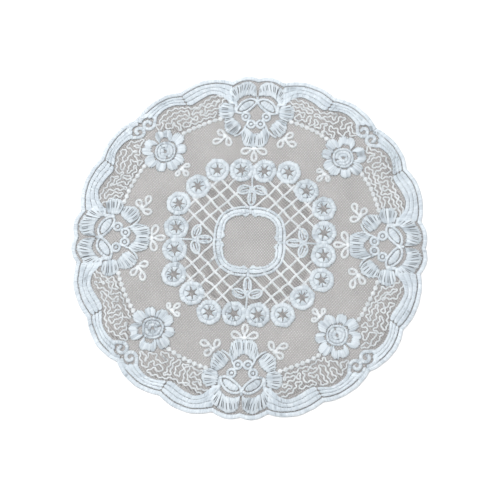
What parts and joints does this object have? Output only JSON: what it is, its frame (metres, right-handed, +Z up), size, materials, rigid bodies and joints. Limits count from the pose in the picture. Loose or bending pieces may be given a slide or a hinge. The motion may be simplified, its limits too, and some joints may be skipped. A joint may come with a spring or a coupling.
{
  "type": "lace napkin",
  "caption": "Flat round lace napkin with a scalloped edge: embroidered flowers, star roundels, lattice and centre ring on fine net.",
  "frame": {"origin": "centre of the embroidered pattern, on the flat underside", "axes": "+Z up out of the embroidered face, +Y from the centre towards the flower bouquet at the top of the picture"},
  "size_m": [0.2475, 0.2461, 0.0022],
  "materials": {
    "lace_thread": "matt bluish white embroidery thread on fine pale grey net"
  },
  "bodies": {
    "root": {"napkin": "lace_thread"}
  },
  "joints": []
}
